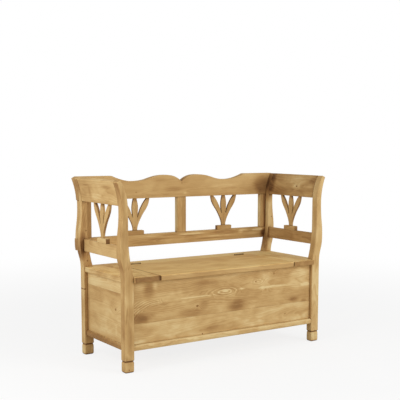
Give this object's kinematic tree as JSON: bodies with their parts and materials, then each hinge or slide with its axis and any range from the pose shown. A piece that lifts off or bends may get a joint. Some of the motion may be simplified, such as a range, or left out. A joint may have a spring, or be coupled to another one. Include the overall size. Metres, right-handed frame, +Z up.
{
  "type": "settle bench",
  "caption": "Wooden settle bench with a lidded chest seat, S-curved posts that flare at the top, a wavy crest rail and cut-out tulip splats in the back and arms.",
  "frame": {"origin": "On the floor at the centre of the bench's outline: halfway along the length and halfway between the seat's front edge and the rear face of the back frame.", "axes": "+X along the bench towards its right end as seen from the front, +Y from the front to the back, +Z up. The bench stands on its four feet at Z = 0."},
  "size_m": [1.222, 0.491, 0.88],
  "materials": {
    "post_pine": "solid pine posts, honey-coloured stain and wax, satin",
    "board_pine": "solid pine boards and rails, honey-coloured stain and wax, satin",
    "panel_pine": "knotty pine panels, honey-coloured stain and wax, satin",
    "inner_pine": "planed pine inside the chest and at its rear, lightly waxed",
    "hinge_brass": "aged dark brass, satin",
    "screw_steel": "zinc-plated steel"
  },
  "bodies": {
    "carcass": {"post_front_left": "post_pine", "post_front_right": "post_pine", "post_rear_left": "post_pine", "post_rear_right": "post_pine", "crest_rail": "board_pine", "back_lower_rail": "board_pine", "back_stile_centre": "board_pine", "back_stile_left": "board_pine", "back_stile_right": "board_pine", "back_splat_left": "board_pine", "back_splat_right": "board_pine", "back_splat_block_left": "board_pine", "back_splat_block_right": "board_pine", "arm_top_board_left": "board_pine", "arm_top_board_right": "board_pine", "arm_lower_rail_left": "board_pine", "arm_lower_rail_right": "board_pine", "arm_splat_left": "board_pine", "arm_splat_right": "board_pine", "arm_splat_block_left": "board_pine", "arm_splat_block_right": "board_pine", "front_panel_lower": "panel_pine", "front_panel_upper": "panel_pine", "back_panel_lower": "inner_pine", "back_panel_upper": "inner_pine", "side_panel_lower_left": "panel_pine", "side_panel_lower_right": "panel_pine", "side_panel_upper_left": "panel_pine", "side_panel_upper_right": "panel_pine", "floor_board_front": "panel_pine", "floor_board_rear": "panel_pine", "seat_cross_rail_left": "inner_pine", "seat_cross_rail_right": "inner_pine", "seat_end_bearer_left": "inner_pine", "seat_end_bearer_right": "inner_pine", "seat_rear_bearer": "inner_pine", "seat_end_board_left": "board_pine", "seat_end_board_right": "board_pine", "seat_rear_strip": "board_pine", "hinge_leaf_seat_left": "hinge_brass", "hinge_leaf_seat_right": "hinge_brass", "hinge_pin_left": "hinge_brass", "hinge_pin_right": "hinge_brass", "hinge_screw_seat_left_1": "hinge_brass", "hinge_screw_seat_left_2": "hinge_brass", "hinge_screw_seat_right_1": "hinge_brass", "hinge_screw_seat_right_2": "hinge_brass"},
    "lid": {"seat_lid": "board_pine", "lid_batten_left": "inner_pine", "lid_batten_right": "inner_pine", "lid_batten_screw_left_1": "screw_steel", "lid_batten_screw_left_2": "screw_steel", "lid_batten_screw_right_1": "screw_steel", "lid_batten_screw_right_2": "screw_steel", "hinge_leaf_lid_left": "hinge_brass", "hinge_leaf_lid_right": "hinge_brass", "hinge_screw_lid_left_1": "hinge_brass", "hinge_screw_lid_left_2": "hinge_brass", "hinge_screw_lid_right_1": "hinge_brass", "hinge_screw_lid_right_2": "hinge_brass"}
  },
  "joints": [
    {"name": "lid_hinge", "type": "hinge", "parent": "carcass", "child": "lid", "pos_m": [0, 0.137, 0.442], "axis": [-1, 0, 0], "range_deg": [0, 101.5]}
  ]
}
